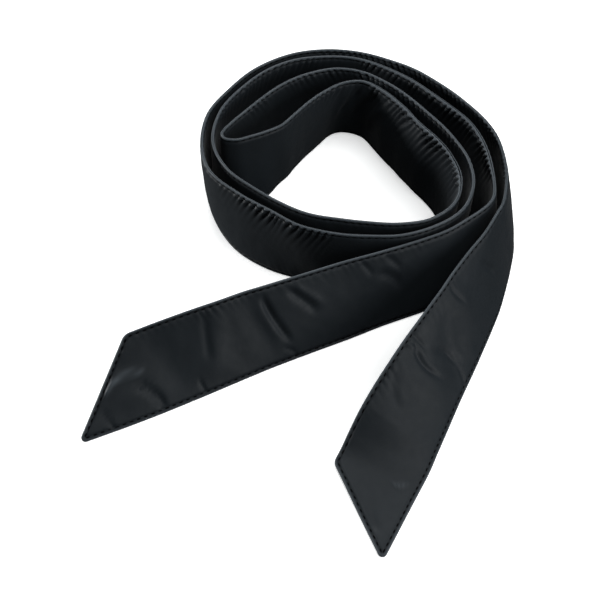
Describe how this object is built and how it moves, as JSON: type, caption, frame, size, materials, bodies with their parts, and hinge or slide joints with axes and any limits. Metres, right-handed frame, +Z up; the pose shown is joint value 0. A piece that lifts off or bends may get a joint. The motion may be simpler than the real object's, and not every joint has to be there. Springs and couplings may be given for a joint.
{
  "type": "coat belt",
  "caption": "Long flat fabric coat belt with slanted ends, folded in half and wound into a loose coil on its edge with both free ends running out.",
  "frame": {"origin": "middle of the wound belt's outline, on the surface that it lies on", "axes": "+Z up, along the belt's width where it stands on edge; +Y from the free ends to the coil; +X towards the side of the coil where the free ends leave it"},
  "size_m": [0.258, 0.3416, 0.0501],
  "materials": {
    "face_cloth": "black closely woven nylon taffeta with a faint sheen, topstitched in matching thread",
    "back_cloth": "black closely woven nylon taffeta with a faint sheen, topstitched in matching thread"
  },
  "bodies": {
    "root": {"face_panel": "face_cloth", "back_panel": "back_cloth"}
  },
  "joints": []
}
